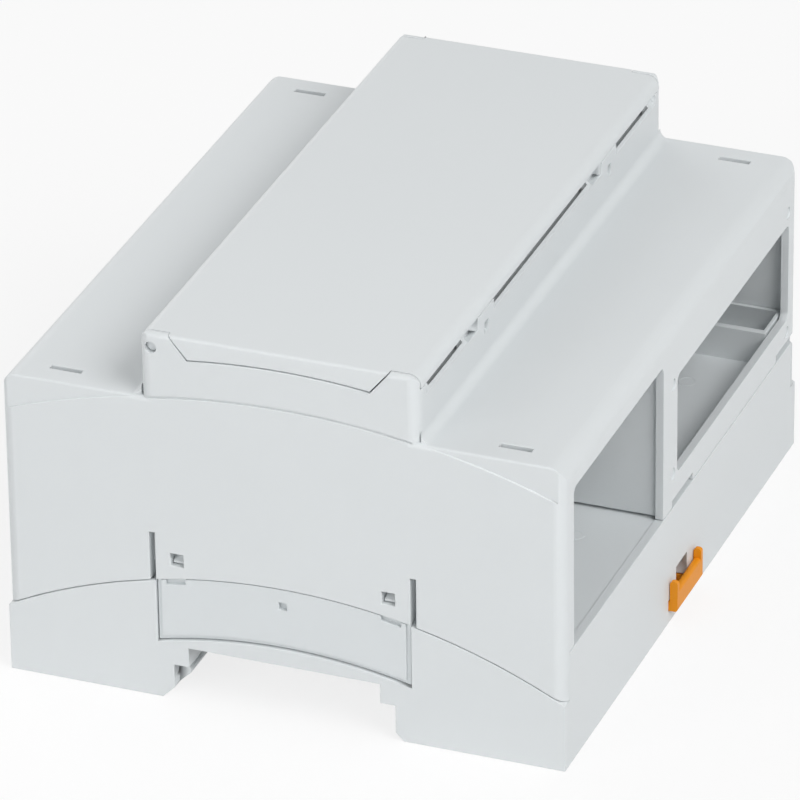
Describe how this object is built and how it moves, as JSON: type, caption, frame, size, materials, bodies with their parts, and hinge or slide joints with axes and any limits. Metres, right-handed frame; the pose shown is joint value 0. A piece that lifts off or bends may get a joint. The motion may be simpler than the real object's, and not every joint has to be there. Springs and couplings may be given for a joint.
{
  "type": "modular DIN rail electronics enclosure",
  "caption": "Stepped plastic enclosure that snaps on a DIN rail, with open terminal bays, a framed window, a hinged cover lid and a sprung foot latch.",
  "frame": {"origin": "middle of the enclosure's base, at the height of the feet's undersides", "axes": "+X along the rail, from the open bays to the window bays; -Y towards the foot latch; +Z away from the rail, towards the lid"},
  "size_m": [0.1076, 0.0911, 0.0622],
  "materials": {
    "housing": "fine moulded grain",
    "lid": "fine moulded grain",
    "latch": "smooth moulded",
    "cover": "fine moulded grain"
  },
  "bodies": {
    "housing": {"lower_housing": "housing", "upper_housing": "housing", "bus_cover_near": "cover", "bus_cover_far": "cover"},
    "lid": {"cover_lid": "lid"},
    "latch": {"foot_latch": "latch"}
  },
  "joints": [
    {"name": "lid_hinge", "type": "hinge", "parent": "housing", "child": "lid", "pos_m": [0, 0.0202, 0.0598], "axis": [-1, 0, 0], "range_deg": [0, 110]},
    {"name": "latch_slide", "type": "slide", "parent": "housing", "child": "latch", "axis": [0, -1, 0], "range_m": [0, 0.0036], "stiffness_N_per_m": 1500}
  ]
}
